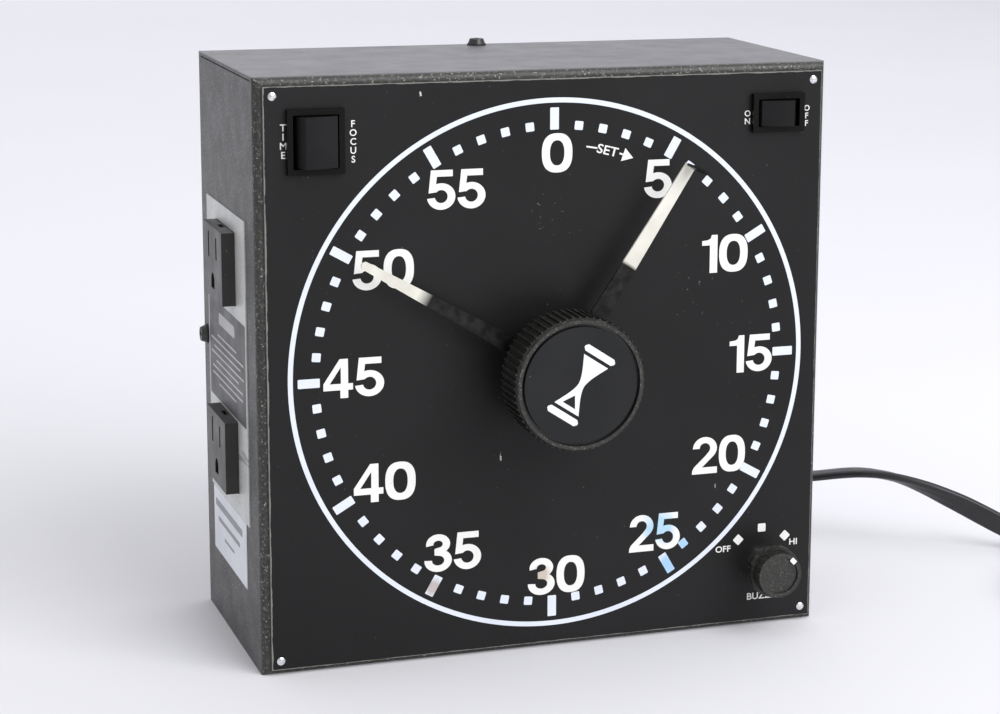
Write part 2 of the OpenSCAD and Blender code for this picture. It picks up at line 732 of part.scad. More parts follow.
module buzzer_control() {
    color([0.55, 0.56, 0.56]) at_buzzer() difference() {
        union() {
            rod_y(3.5, panel_front - 2.9, control_y);
            rod_y(9, control_y, control_y + 12);
            block(-7, 7, control_y + 3, control_y + 5, 8, 15);
        }
        rod_y(buzzer_shaft_r + running_gap, panel_front - 5, control_y + 9.2);
    }
}
module buzzer_control_nut() {
    color([0.7, 0.7, 0.7]) at_buzzer() plate_y(panel_front - 2.2, panel_front) difference() {
        circle(r = 5.8, $fn = 6);
        circle(r = 3.5);
    }
}
bracket_x = 34;
bracket_y = 2;
module at_buzzer_frame() {
    translate([bracket_x, bracket_y, sheet]) children();
}
module buzzer_bracket() {
    color([0.62, 0.63, 0.64]) at_buzzer_frame() {
        block(-22, 22, -10, 10, 0, 2);
        block(-22, -20, -10, 10, 2, 30);
    }
}
module buzzer_core() {
    color([0.5, 0.5, 0.5]) at_buzzer_frame() translate([0, 0, 2]) cylinder(r = 4, h = 24);
}
module buzzer_coil() {
    color([0.55, 0.25, 0.12]) at_buzzer_frame() difference() {
        translate([0, 0, 2.2]) union() {
            cylinder(r = 11, h = 1.2);
            cylinder(r = 9.5, h = 21);
            translate([0, 0, 19.8]) cylinder(r = 11, h = 1.2);
        }
        cylinder(r = 4.1, h = 40);
    }
}
module buzzer_reed() {
    color([0.72, 0.73, 0.75]) at_buzzer_frame() {
        block(-22, 12, -6, 6, 30, 30.8);
        block(-6, 6, -6, 6, 28, 30);
    }
}
module terminal_block() {
    color([0.75, 0.72, 0.62]) translate([-30, 12, sheet]) difference() {
        block(-30, 30, -9, 9, 0, 12);
        for (k = [-2:2]) translate([11 * k, 0, 5]) cylinder(r = 2.4, h = 8);
        for (k = [-2:2], s = [-1, 1]) translate([11 * k, s * 9, 5]) cube([5, 6, 5], center = true);
    }
}

// Power cord, its relief, its coil and its plug
module strain_relief() {
    color([0.06, 0.06, 0.06]) translate([relief_x, 0, relief_z]) {
        rod_y(8.5, case_rear - sheet - 2, case_rear - sheet);
        rod_y(6.2, case_rear - sheet - 0.1, case_rear + 0.1);
        translate([0, case_rear, 0]) rotate([-90, 0, 0])
            cylinder(r1 = relief_r0, r2 = relief_r1, h = relief_len);
    }
}
module power_cord() {
    color([0.06, 0.06, 0.07]) swept_tube(cord_route, cord_r);
}
module cord_tail() {
    color([0.06, 0.06, 0.07]) swept_tube(tail_route, cord_r);
}
module cord_coil() {
    color([0.07, 0.07, 0.08]) translate([coil_x, coil_y, 0])
        rotate_extrude() translate([coil_inner, 0]) square([coil_outer - coil_inner, cord_w]);
}
// Twist tie round the coil's far side
module cord_tie() {
    gap = 0.3;
    t = 1;
    color([0.1, 0.1, 0.1]) translate([coil_x, coil_y, 0]) rotate(-135) difference() {
        block(coil_inner - gap - t, coil_outer + gap + t, -3, 3, 0, cord_w + gap + t);
        block(coil_inner - gap, coil_outer + gap, -4, 4, -1, cord_w + gap);
    }
}
module plug_body() {
    color([0.07, 0.07, 0.07]) translate([plug_x, plug_y, plug_z]) {
        intersection() {
            block(-plug_w / 2, plug_w / 2, -plug_len / 2, plug_len / 2, -plug_h / 2, plug_h / 2);
            translate([0, -plug_len / 2, 0]) rotate([-90, 0, 0])
                cylinder(r1 = plug_w * 0.62, r2 = plug_w * 0.42, h = plug_len);
        }
        translate([0, plug_len / 2, 0]) rotate([-90, 0, 0]) cylinder(r1 = 6, r2 = 4.6, h = 4);
    }
}
module plug_blades() {
    color([0.8, 0.72, 0.45]) translate([plug_x, plug_y - plug_len / 2, plug_z]) {
        for (s = [-1, 1]) block(s * slot_gap / 2 - 0.75, s * slot_gap / 2 + 0.75, -16, 0, 1.9, 8.1);
        translate([0, 0, -6.9]) rod_y(2.35, -19, 0);
    }
}

case();
rear_cover();
rear_cover_screws();
screw_washers();
dial_panel();
panel_pins();
outlet_label();
lower_sticker();
upper_outlet();
lower_outlet();
outlet_contacts();
time_switch_housing();
time_rocker();
power_switch_housing();
power_rocker();
switch_terminals();
setting_knob();
knob_disc();
second_hand();
minute_hand();
second_arbor();
second_wheel();
idler_arbor();
idler_wheel();
minute_tube();
minute_wheel();
timing_cam();
centre_bush();
centre_bush_nut();
movement_front_plate();
movement_back_plate();
movement_pillars();
mounting_posts();
movement_screws();
drive_motor();
motor_pinion();
cam_switch();
cam_switch_lever();
buzzer_knob();
buzzer_shaft();
buzzer_control();
buzzer_control_nut();
buzzer_bracket();
buzzer_coil();
buzzer_core();
buzzer_reed();
terminal_block();
strain_relief();
power_cord();
cord_coil();
cord_tail();
cord_tie();
plug_body();
plug_blades();
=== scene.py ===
import bpy
import bmesh
import math
from mathutils import Matrix, Vector


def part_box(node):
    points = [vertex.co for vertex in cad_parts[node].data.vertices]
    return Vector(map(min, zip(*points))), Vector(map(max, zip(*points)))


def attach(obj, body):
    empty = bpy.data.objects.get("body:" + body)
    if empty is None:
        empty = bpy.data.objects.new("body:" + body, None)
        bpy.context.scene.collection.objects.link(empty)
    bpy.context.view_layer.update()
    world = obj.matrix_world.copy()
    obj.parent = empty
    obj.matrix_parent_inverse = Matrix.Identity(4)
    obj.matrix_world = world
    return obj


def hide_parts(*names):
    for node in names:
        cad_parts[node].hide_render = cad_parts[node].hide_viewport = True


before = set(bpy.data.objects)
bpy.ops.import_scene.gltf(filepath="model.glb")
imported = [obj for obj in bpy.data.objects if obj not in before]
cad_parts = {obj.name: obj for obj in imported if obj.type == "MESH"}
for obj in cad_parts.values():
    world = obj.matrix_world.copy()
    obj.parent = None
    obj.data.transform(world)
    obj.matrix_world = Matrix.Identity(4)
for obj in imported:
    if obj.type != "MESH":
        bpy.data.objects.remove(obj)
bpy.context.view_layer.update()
mm = 0.001

# where the main parts are, read from the frame
panelLow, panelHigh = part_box("dial_panel")
panelFront = panelLow.y
knobLow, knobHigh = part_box("setting_knob")
dialX = (knobLow.x + knobHigh.x) / 2
dialZ = (knobLow.z + knobHigh.z) / 2
printLift = 0.02 * mm                # how far the print stands off its face


def aimCamera():
    camera = {
        "place": (-274.1, -855.1, 295.0),
        "turn": 19.85, "dip": 11.52, "roll": 0.54,
        "lens": 91.9, "shift": (-0.1, -0.047),
    }
    data = bpy.data.cameras.new("camera")
    data.lens = camera["lens"]
    data.sensor_width = 36
    data.shift_x, data.shift_y = camera["shift"]
    data.clip_end = 20
    obj = bpy.data.objects.new("camera", data)
    bpy.context.scene.collection.objects.link(obj)
    turn, dip, roll = (math.radians(camera[k]) for k in ("turn", "dip", "roll"))
    forward = Vector((math.sin(turn) * math.cos(dip), math.cos(turn) * math.cos(dip), -math.sin(dip)))
    right = Vector((math.cos(turn), -math.sin(turn), 0))
    up = right.cross(forward)
    right, up = math.cos(roll) * right + math.sin(roll) * up, math.cos(roll) * up - math.sin(roll) * right
    look = Matrix((right, up, -forward)).transposed().to_4x4()
    obj.matrix_world = Matrix.Translation(Vector(camera["place"]) * mm) @ look
    bpy.context.scene.camera = obj


def addObject(name, data, material=None):
    obj = bpy.data.objects.new(name, data)
    bpy.context.scene.collection.objects.link(obj)
    if material:
        data.materials.append(material)
    return obj


def addPiece(name, data, body, material):
    obj = addObject(name, data, material)
    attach(obj, body)
    return obj


def smoothMesh(mesh, angle=35):
    mesh.polygons.foreach_set("use_smooth", [True] * len(mesh.polygons))
    mesh.set_sharp_from_angle(angle=math.radians(angle))
    return mesh


def nodeTree(name, shaderValues):
    material = bpy.data.materials.new(name)
    material.use_nodes = True
    tree = material.node_tree
    shader = tree.nodes["Principled BSDF"]
    for socket, value in shaderValues.items():
        shader.inputs[socket].default_value = value
    place = tree.nodes.new("ShaderNodeTexCoord").outputs["Object"]
    return material, tree, shader, place


def addNode(tree, kind, links=None, **values):
    node = tree.nodes.new(kind)
    for key, value in values.items():
        setattr(node, key, value)
    for socket, source in (links or {}).items():
        if isinstance(source, bpy.types.NodeSocket):
            tree.links.new(source, node.inputs[socket])
        else:
            node.inputs[socket].default_value = source
    return node


def noiseOf(tree, place, scale, detail=3, roughness=0.55, stretch=None):
    if stretch:
        place = addNode(tree, "ShaderNodeMapping", {"Vector": place, "Scale": stretch}).outputs[0]
    return addNode(tree, "ShaderNodeTexNoise", {"Vector": place, "Scale": scale, "Detail": detail,
                   "Roughness": roughness}).outputs["Fac"]


def stepOf(tree, value, low, high, outLow=0.0, outHigh=1.0):
    node = addNode(tree, "ShaderNodeMapRange", {"Value": value, "From Min": low, "From Max": high,
                   "To Min": outLow, "To Max": outHigh})
    return node.outputs[0]


def mathOf(tree, how, a, b=0.0):
    return addNode(tree, "ShaderNodeMath", {0: a, 1: b}, operation=how).outputs[0]


def mixOf(tree, share, a, b, how="MIX"):
    node = tree.nodes.new("ShaderNodeMix")
    node.data_type = "RGBA"
    node.blend_type = how
    for index, source in ((0, share), (6, a), (7, b)):
        if isinstance(source, bpy.types.NodeSocket):
            tree.links.new(source, node.inputs[index])
        else:
            node.inputs[index].default_value = source if index == 0 else (*source, 1)
    return node.outputs[2]


def surface(name, look):
    # one builder for the painted, moulded and metal finishes: cloudy colour, grain, specks, scratches, bump
    material, tree, shader, place = nodeTree(name, look.get("shader", {}))
    cloud = noiseOf(tree, place, look.get("cloudScale", 40), 4)
    colour = mixOf(tree, stepOf(tree, cloud, 0.35, 0.65), look["dark"], look["light"])
    if "grain" in look:
        scale, amount, tone = look["grain"]
        grain = noiseOf(tree, place, scale, 2)
        colour = mixOf(tree, stepOf(tree, grain, 0.5, 0.68, 0, amount), colour, tone)
    if "specks" in look:
        scale, cut, tone = look["specks"]
        speck = noiseOf(tree, place, scale, 2, 0.7)
        colour = mixOf(tree, stepOf(tree, speck, cut, cut + 0.04), colour, tone)
    if "scratches" in look:
        scale, cut, tone, stretch = look["scratches"]
        line = noiseOf(tree, place, scale, 1, 0.5, stretch)
        colour = mixOf(tree, stepOf(tree, line, cut, cut + 0.05, 0, 0.6), colour, tone)
    tree.links.new(colour, shader.inputs["Base Color"])
    low, high = look["rough"]
    wearNoise = noiseOf(tree, place, look.get("wearScale", 90), 4)
    tree.links.new(stepOf(tree, wearNoise, 0.3, 0.7, low, high), shader.inputs["Roughness"])
    if "bump" in look:
        scale, distance, strength = look["bump"]
        height = noiseOf(tree, place, scale, 3, 0.6, look.get("bumpStretch"))
        bump = addNode(tree, "ShaderNodeBump", {"Height": height, "Distance": distance * mm,
                                                "Strength": strength})
        tree.links.new(bump.outputs[0], shader.inputs["Normal"])
    return material, tree, shader, place, colour


def plainSurface(name, look):
    return surface(name, look)[0]


def recolour(tree, shader, colour):
    tree.links.new(colour, shader.inputs["Base Color"])


def spanOf(tree, place, axis):
    return addNode(tree, "ShaderNodeSeparateXYZ", {0: place}).outputs[axis]


def distanceOf(tree, place, spot):
    return addNode(tree, "ShaderNodeVectorMath", {0: place, 1: spot}, operation="DISTANCE").outputs["Value"]


def radiusOf(tree, place, centre):
    # distance from an axis that runs along Y through the centre
    shifted = addNode(tree, "ShaderNodeVectorMath", {0: place, 1: (centre[0], 0, centre[1])},
                      operation="SUBTRACT").outputs[0]
    flat = addNode(tree, "ShaderNodeVectorMath", {0: shifted, 1: (1, 0, 1)}, operation="MULTIPLY").outputs[0]
    return addNode(tree, "ShaderNodeVectorMath", {0: flat}, operation="LENGTH").outputs["Value"]


def makeCaseCoat():
    look = {
        "dark": (0.014, 0.014, 0.012), "light": (0.022, 0.022, 0.019), "cloudScale": 30,
        "grain": (1000, 0.6, (0.07, 0.07, 0.062)), "specks": (1250, 0.63, (0.3, 0.3, 0.27)),
        "rough": (0.34, 0.44), "bump": (900, 0.3, 0.8), "shader": {"Specular IOR Level": 0.5},
        # the colour on the next line lightens the top face: a painted sheen
        "topSheen": (0.17, 0.168, 0.18),
    }
    material, tree, shader, place, colour = surface("caseCoat", look)
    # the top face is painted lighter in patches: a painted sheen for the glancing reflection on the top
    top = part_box("case")[1].z
    level = stepOf(tree, spanOf(tree, place, 2), top - 0.5 * mm, top - 0.1 * mm)
    patchy = stepOf(tree, noiseOf(tree, place, 35, 4, 0.7), 0.3, 0.6, 0.75, 1)
    share = mathOf(tree, "MULTIPLY", level, mathOf(tree, "MULTIPLY", patchy, 0.9))
    recolour(tree, shader, mixOf(tree, share, colour, look["topSheen"]))
    return material


panelWearAndEdgeHighlight = {
    # place across and up from the dial's centre, reach, noise scale, cut, tone, stretch of the marks
    "scuffs": [((-3, 54), 9, 420, 0.66, (0.2, 0.17, 0.13), (1, 1, 3)),
               ((52, 24), 11, 520, 0.68, (0.16, 0.16, 0.16), (1, 1, 1)),
               ((20, -52), 22, 650, 0.73, (0.14, 0.14, 0.14), (1, 1, 1)),
               ((70, 62), 18, 560, 0.74, (0.12, 0.12, 0.12), (1, 1, 1))],
    # place, half width, half height and tone of the small nicks
    "nicks": [((-18.8, -30.6), 0.45, 1.9, (0.5, 0.48, 0.45)), ((-46.8, 95.2), 0.5, 1.1, (0.6, 0.6, 0.58)),
              ((-29.6, 88.6), 0.6, 0.6, (0.03, 0.04, 0.12)), ((61, -47.5), 0.3, 1.0, (0.3, 0.3, 0.3))],
    # how far the lighter band reaches in from each cut edge: bare metal all round, widened at the left and
    # top as a painted highlight
    "edge": {"left": 0.26, "top": 0.2, "right": 0.08, "low": 0.12},
}


def makePanelCoat():
    look = {
        "dark": (0.0068, 0.0068, 0.0072), "light": (0.0102, 0.0102, 0.0108), "cloudScale": 14,
        "specks": (950, 0.745, (0.16, 0.16, 0.16)), "rough": (0.33, 0.47), "wearScale": 22,
        "bump": (2600, 0.02, 0.25), "shader": {"Specular IOR Level": 0.22},
    }
    material, tree, shader, place, colour = surface("panelCoat", look)
    for (u, v), reach, scale, cut, tone, stretch in panelWearAndEdgeHighlight["scuffs"]:
        spot = (dialX + u * mm, panelFront, dialZ + v * mm)
        away = distanceOf(tree, place, spot)
        near = stepOf(tree, away, reach * mm, reach * 0.3 * mm)
        mark = stepOf(tree, noiseOf(tree, place, scale, 2, 0.6, stretch), cut, cut + 0.05)
        colour = mixOf(tree, mathOf(tree, "MULTIPLY", near, mark), colour, tone)
    ragged = stepOf(tree, noiseOf(tree, place, 1500, 2, 0.7), 0.3, 0.7, 0, 1.1)
    for (u, v), halfWide, halfHigh, tone in panelWearAndEdgeHighlight["nicks"]:
        spot = (dialX + u * mm, panelFront, dialZ + v * mm)
        offset = addNode(tree, "ShaderNodeVectorMath", {0: place, 1: spot}, operation="SUBTRACT").outputs[0]
        share = (1 / (halfWide * mm), 0, 1 / (halfHigh * mm))
        scaled = addNode(tree, "ShaderNodeVectorMath", {0: offset, 1: share}, operation="MULTIPLY").outputs[0]
        away = addNode(tree, "ShaderNodeVectorMath", {0: scaled}, operation="LENGTH").outputs["Value"]
        colour = mixOf(tree, stepOf(tree, mathOf(tree, "ADD", away, ragged), 1.3, 1.0), colour, tone)
    # bare metal along the cut edges, chipped here and there; it is widest at the left, and the extra width at
    # the left and top is a painted highlight
    chip = stepOf(tree, noiseOf(tree, place, 150, 3, 0.7), 0.3, 0.6, 0.2, 1)
    bareAndHighlight = None
    for side, axis, low in (("left", 0, panelLow.x), ("right", 0, panelHigh.x), ("low", 2, panelLow.z),
                            ("top", 2, panelHigh.z)):
        across = spanOf(tree, place, axis)
        away = mathOf(tree, "ABSOLUTE", mathOf(tree, "SUBTRACT", across, low))
        reach = mathOf(tree, "MULTIPLY", chip, 2 * panelWearAndEdgeHighlight["edge"][side] * mm)
        line = mathOf(tree, "LESS_THAN", away, reach)
        bareAndHighlight = line if bareAndHighlight is None else mathOf(tree, "MAXIMUM", bareAndHighlight, line)
    recolour(tree, shader, mixOf(tree, bareAndHighlight, colour, (0.2, 0.2, 0.185)))
    return material


def makeInk(name, tint, stains=()):
    look = {
        "dark": tuple(0.94 * c for c in tint), "light": tint, "cloudScale": 70,
        "specks": (1100, 0.72, tuple(0.55 * c for c in tint)),
        "rough": (0.38, 0.5), "bump": (2200, 0.015, 0.2),
    }
    material, tree, shader, place, colour = surface(name, look)
    for spot, reach, tone in stains:
        away = distanceOf(tree, place, spot)
        ragged = mathOf(tree, "ADD", away, mathOf(tree, "MULTIPLY", noiseOf(tree, place, 160, 3),
                                                  reach * 0.9))
        colour = mixOf(tree, stepOf(tree, ragged, reach * 1.45, reach * 0.95, 0, 0.85), colour, tone,
                       "MULTIPLY")
    recolour(tree, shader, colour)
    return material


def makeHandPaint(name, start, soft, tabDepth=None):
    # cream on the outer stretch, bare dark metal nearer the axis
    look = {
        "dark": (0.6, 0.585, 0.52), "light": (0.78, 0.765, 0.69), "cloudScale": 60,
        "specks": (1400, 0.72, (0.3, 0.28, 0.24)), "rough": (0.3, 0.45), "bump": (1800, 0.02, 0.2),
        "shader": {"Specular IOR Level": 0.18},
    }
    material, tree, shader, place, cream = surface(name, look)
    darkNoise = noiseOf(tree, place, 300, 3)
    dark = mixOf(tree, stepOf(tree, darkNoise, 0.4, 0.7), (0.004, 0.004, 0.004), (0.02, 0.0195, 0.018))
    away = radiusOf(tree, place, (dialX, dialZ))
    share = stepOf(tree, away, start * mm, (start + soft) * mm)
    if tabDepth is not None:
        ahead = spanOf(tree, place, 1)
        share = mathOf(tree, "MULTIPLY", share, stepOf(tree, ahead, tabDepth - 0.4 * mm, tabDepth))
    recolour(tree, shader, mixOf(tree, share, dark, cream))
    return material


def makeKnobPlastic():
    look = {
        "dark": (0.01, 0.01, 0.009), "light": (0.017, 0.017, 0.015), "cloudScale": 60,
        "grain": (700, 0.2, (0.04, 0.038, 0.03)), "specks": (1500, 0.73, (0.2, 0.19, 0.15)),
        "rough": (0.26, 0.42), "bump": (1500, 0.05, 0.3),
    }
    material, tree, shader, place, colour = surface("knobPlastic", look)
    # the front rim and the tops of the ribs are lighter and brownish in patches
    ahead = spanOf(tree, place, 1)
    rim = stepOf(tree, ahead, knobLow.y + 1.6 * mm, knobLow.y + 0.5 * mm, 0, 1)
    knobRadius = (knobHigh.x - knobLow.x) / 2
    away = radiusOf(tree, place, (dialX, dialZ))
    crest = stepOf(tree, away, knobRadius - 0.5 * mm, knobRadius - 0.15 * mm, 0, 0.8)
    crestPatches = stepOf(tree, noiseOf(tree, place, 1300, 3, 0.7), 0.56, 0.68)
    paleCrests = mathOf(tree, "MULTIPLY", mathOf(tree, "MAXIMUM", rim, crest), crestPatches)
    recolour(tree, shader, mixOf(tree, paleCrests, colour, (0.14, 0.13, 0.1)))
    return material


finishes = {
    "pinMetal": {"dark": (0.62, 0.63, 0.65), "light": (0.85, 0.86, 0.88), "rough": (0.12, 0.3),
                 "cloudScale": 400,
                 "bump": (900, 0.03, 0.3), "shader": {"Metallic": 1.0}},
    "labelFoil": {"dark": (0.56, 0.57, 0.56), "light": (0.7, 0.71, 0.69), "rough": (0.35, 0.55),
                  "cloudScale": 25,
                  "grain": (1800, 0.4, (0.3, 0.3, 0.3)), "bump": (700, 0.03, 0.3),
                  "scratches": (300, 0.7, (0.2, 0.2, 0.2), (1, 0.1, 1)), "shader": {"Metallic": 0.35}},
    "stickerPaper": {"dark": (0.7, 0.72, 0.78), "light": (0.8, 0.82, 0.87), "rough": (0.45, 0.6),
                     "cloudScale": 60,
                     "specks": (1300, 0.72, (0.4, 0.4, 0.42)), "bump": (1500, 0.02, 0.3)},
    "outletPlastic": {"dark": (0.011, 0.011, 0.009), "light": (0.017, 0.017, 0.014), "rough": (0.3, 0.42),
                      "specks": (1000, 0.74, (0.3, 0.3, 0.28)), "cloudScale": 80, "bump": (1600, 0.03, 0.3)},
    "contactMetal": {"dark": (0.5, 0.36, 0.14), "light": (0.72, 0.55, 0.24), "rough": (0.25, 0.45),
                     "cloudScale": 300,
                     "bump": (900, 0.03, 0.3), "shader": {"Metallic": 1.0}},
    "switchPlastic": {"dark": (0.0025, 0.0023, 0.0018), "light": (0.0045, 0.0043, 0.0034),
                      "rough": (0.24, 0.36),
                      "shader": {"Specular IOR Level": 0.12},
                      "specks": (1300, 0.71, (0.2, 0.18, 0.13)), "bump": (1500, 0.03, 0.3)},
    "rockerPlastic": {"dark": (0.004, 0.004, 0.0044), "light": (0.007, 0.007, 0.0076), "rough": (0.26, 0.38),
                      "shader": {"Specular IOR Level": 0.2},
                      "specks": (1200, 0.75, (0.16, 0.16, 0.16)), "bump": (900, 0.02, 0.25)},
    "terminalMetal": {"dark": (0.45, 0.38, 0.22), "light": (0.66, 0.57, 0.36), "rough": (0.3, 0.5),
                      "bump": (900, 0.03, 0.3), "shader": {"Metallic": 1.0}},
    "discMetal": {"dark": (0.007, 0.0075, 0.008), "light": (0.011, 0.0115, 0.0125), "rough": (0.3, 0.42),
                  "shader": {"Specular IOR Level": 0.25},
                  "specks": (1000, 0.76, (0.2, 0.2, 0.2)), "bump": (1800, 0.02, 0.2)},
    "arborSteel": {"dark": (0.4, 0.4, 0.39), "light": (0.62, 0.62, 0.6), "rough": (0.22, 0.4),
                   "cloudScale": 200,
                   "bump": (600, 0.03, 0.3), "bumpStretch": (1, 8, 1), "shader": {"Metallic": 1.0}},
    "gearBrass": {"dark": (0.55, 0.4, 0.15), "light": (0.76, 0.58, 0.26), "rough": (0.2, 0.4),
                  "cloudScale": 120,
                  "bump": (900, 0.02, 0.3), "shader": {"Metallic": 1.0}},
    "camPlastic": {"dark": (0.62, 0.6, 0.52), "light": (0.74, 0.72, 0.64), "rough": (0.35, 0.5),
                   "bump": (900, 0.03, 0.3)},
    "frameSteel": {"dark": (0.42, 0.43, 0.43), "light": (0.6, 0.61, 0.61), "rough": (0.3, 0.5),
                   "cloudScale": 60,
                   "bump": (500, 0.03, 0.3), "bumpStretch": (1, 1, 6), "shader": {"Metallic": 1.0}},
    "motorSteel": {"dark": (0.36, 0.37, 0.37), "light": (0.52, 0.53, 0.53), "rough": (0.32, 0.5),
                   "cloudScale": 70,
                   "bump": (500, 0.03, 0.3), "bumpStretch": (1, 6, 1), "shader": {"Metallic": 1.0}},
    "windingWire": {"dark": (0.3, 0.1, 0.035), "light": (0.5, 0.2, 0.07), "rough": (0.25, 0.4),
                    "cloudScale": 200,
                    "bump": (1200, 0.1, 0.6), "bumpStretch": (0.1, 0.1, 3), "shader": {"Metallic": 0.8}},
    "blockPlastic": {"dark": (0.5, 0.46, 0.35), "light": (0.62, 0.58, 0.46), "rough": (0.35, 0.5),
                     "bump": (900, 0.03, 0.3)},
    "screwBlack": {"dark": (0.012, 0.012, 0.012), "light": (0.03, 0.03, 0.03), "rough": (0.25, 0.45),
                   "specks": (1500, 0.7, (0.25, 0.25, 0.24)), "bump": (1400, 0.04, 0.4)},
    "cordRubber": {"dark": (0.011, 0.011, 0.012), "light": (0.018, 0.018, 0.02), "rough": (0.26, 0.42),
                   "specks": (1300, 0.76, (0.12, 0.12, 0.12)), "bump": (900, 0.03, 0.3)},
    "plugPlastic": {"dark": (0.012, 0.012, 0.013), "light": (0.02, 0.02, 0.021), "rough": (0.35, 0.5),
                    "specks": (1200, 0.74, (0.14, 0.14, 0.13)), "bump": (1300, 0.04, 0.35)},
    "bladeBrass": {"dark": (0.5, 0.4, 0.2), "light": (0.72, 0.62, 0.36), "rough": (0.22, 0.4),
                   "cloudScale": 300,
                   "bump": (900, 0.03, 0.3), "shader": {"Metallic": 1.0}},
    "labelInk": {"dark": (0.045, 0.045, 0.05), "light": (0.065, 0.065, 0.07), "rough": (0.35, 0.5),
                 "bump": (1500, 0.02, 0.2)},
    "barInk": {"dark": (0.4, 0.4, 0.4), "light": (0.5, 0.5, 0.5), "rough": (0.4, 0.5),
               "bump": (1500, 0.02, 0.2)},
}
coats = {name: plainSurface(name, look) for name, look in finishes.items()}
coats["caseCoat"] = makeCaseCoat()
coats["panelCoat"] = makePanelCoat()
coats["knobPlastic"] = makeKnobPlastic()
coats["secondPaint"] = makeHandPaint("secondPaint", 42.5, 1.2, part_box("minute_hand")[0].y - 5 * mm)
coats["minutePaint"] = makeHandPaint("minutePaint", 53, 5)


def dialSpot(u, v):
    return (dialX + u * mm, panelFront, dialZ + v * mm)


blueStain, brownStain = (0.42, 0.72, 1.0), (0.62, 0.5, 0.42)
coats["ringInk"] = makeInk("ringInk", (0.72, 0.76, 0.84), [
    (dialSpot(43, -74.6), 5 * mm, blueStain), (dialSpot(49.3, -67.8), 2.5 * mm, blueStain),
    (dialSpot(-43, -74.6), 3.5 * mm, brownStain)])
coats["numberInk"] = makeInk("numberInk", (0.82, 0.82, 0.79), [
    (dialSpot(40, -61), 7 * mm, blueStain), (dialSpot(-4, -74), 4 * mm, brownStain)])
coats["markInk"] = makeInk("markInk", (0.8, 0.82, 0.85))
coats["stickerInk"] = makeInk("stickerInk", (0.3, 0.3, 0.33))
print("materials:", len(coats))

nodeFinish = {
    "caseCoat": ["case", "rear_cover"], "panelCoat": ["dial_panel"], "pinMetal": ["panel_pins"],
    "labelFoil": ["outlet_label"], "stickerPaper": ["lower_sticker"],
    "outletPlastic": ["upper_outlet", "lower_outlet"],
    "contactMetal": ["outlet_contacts"], "switchPlastic": ["time_switch_housing", "power_switch_housing",
                                                           "cam_switch"],
    "rockerPlastic": ["time_rocker", "power_rocker"], "terminalMetal": ["switch_terminals"],
    "knobPlastic": ["setting_knob", "buzzer_knob"], "discMetal": ["knob_disc"],
    "secondPaint": ["second_hand"],
    "minutePaint": ["minute_hand"], "camPlastic": ["timing_cam"], "windingWire": ["buzzer_coil"],
    "gearBrass": ["second_wheel", "idler_wheel", "minute_wheel", "centre_bush", "centre_bush_nut"],
    "arborSteel": ["second_arbor", "idler_arbor", "minute_tube", "movement_screws", "motor_pinion",
                   "buzzer_shaft",
                   "buzzer_control_nut", "buzzer_reed"],
    "frameSteel": ["movement_front_plate", "movement_back_plate", "movement_pillars", "mounting_posts",
                   "cam_switch_lever", "buzzer_bracket", "buzzer_core"],
    "motorSteel": ["drive_motor", "buzzer_control"], "blockPlastic": ["terminal_block"],
    "screwBlack": ["rear_cover_screws", "screw_washers"],
    "cordRubber": ["strain_relief", "power_cord", "cord_coil", "cord_tail", "cord_tie"],
    "plugPlastic": ["plug_body"], "bladeBrass": ["plug_blades"],
}


def dressNodes():
    for finish, names in nodeFinish.items():
        for name in names:
            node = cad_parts[name]
            node.data.materials.clear()
            node.data.materials.append(coats[finish])


dressNodes()

# soft edges on the moulded and pressed pieces
softEdges = {
    "time_switch_housing": 0.35, "power_switch_housing": 0.35, "time_rocker": 0.6, "power_rocker": 0.5,
    "upper_outlet": 0.35, "lower_outlet": 0.35, "second_hand": 0.22, "minute_hand": 0.22,
    "buzzer_knob": 0.12, "rear_cover_screws": 0.2,
}
for name, width in softEdges.items():
    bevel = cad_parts[name].modifiers.new("softEdge", "BEVEL")
    bevel.width = width * mm
    bevel.segments = 2
    bevel.limit_method = "ANGLE"
    bevel.angle_limit = math.radians(40)
    bevel.harden_normals = False
print("nodes dressed")


def smoothRoute(points, steps):
    # Catmull-Rom through the given points
    out = []
    for i in range(len(points) - 1):
        before = points[max(i - 1, 0)]
        a, b = points[i], points[i + 1]
        after = points[min(i + 2, len(points) - 1)]
        for k in range(steps):
            t = k / steps
            out.append(0.5 * (2 * a + (b - before) * t + (2 * before - 5 * a + 4 * b - after) * t * t
                              + (3 * a - before - 3 * b + after) * t ** 3))
    out.append(points[-1])
    return out


cord = {
    "width": 8.4, "thick": 3.6,
    "route": [(22, 67, 26), (22.4, 71.6, 26), (24, 77.6, 26), (29, 87.8, 25.6), (37, 95.6, 25.2),
              (47, 100.7, 24.8),
              (58, 102.5, 24.4), (69, 100.7, 24), (79, 95.8, 23.6), (92, 87.2, 23.4), (106, 78, 23.2),
              (120, 68.6, 23.2), (134, 59.2, 23.4), (144, 52.4, 24.5), (155, 45, 26.8), (162, 40.4, 27.6),
              (169, 36, 27.2), (176, 31.4, 25.6), (183, 27, 23.1), (189, 23.3, 20.4), (196, 19.2, 17),
              (203, 15, 13.2),
              (210, 10.5, 9.4), (217, 6, 6.4), (224, 1.6, 4.9), (232, -3, 4.2), (242, -9, 4.2),
              (253, -15, 4.2)],
    "coilCentre": (237, -69), "coilOuter": 54.65, "turnGap": 3.7, "coilStart": 60, "wholeTurns": 4,
    "coilHigh": 4.2, "coilEnd": 107.2, "coilStep": 7.5, "climbFrom": 175, "climb": 6.4, "overFrom": 0.62,
    "over": 5.5,
    "tail": [(224, -27, 10.6), (237, -24, 10.4), (250, -25.5, 10.8), (262, -30.5, 12.4),
                               (271, -38, 15), (277, -46, 18), (280, -51, 20)],
    "twist": [(0, 90), (50, 90), (140, 0), (170, 0), (236, 84), (262, 90)],
}


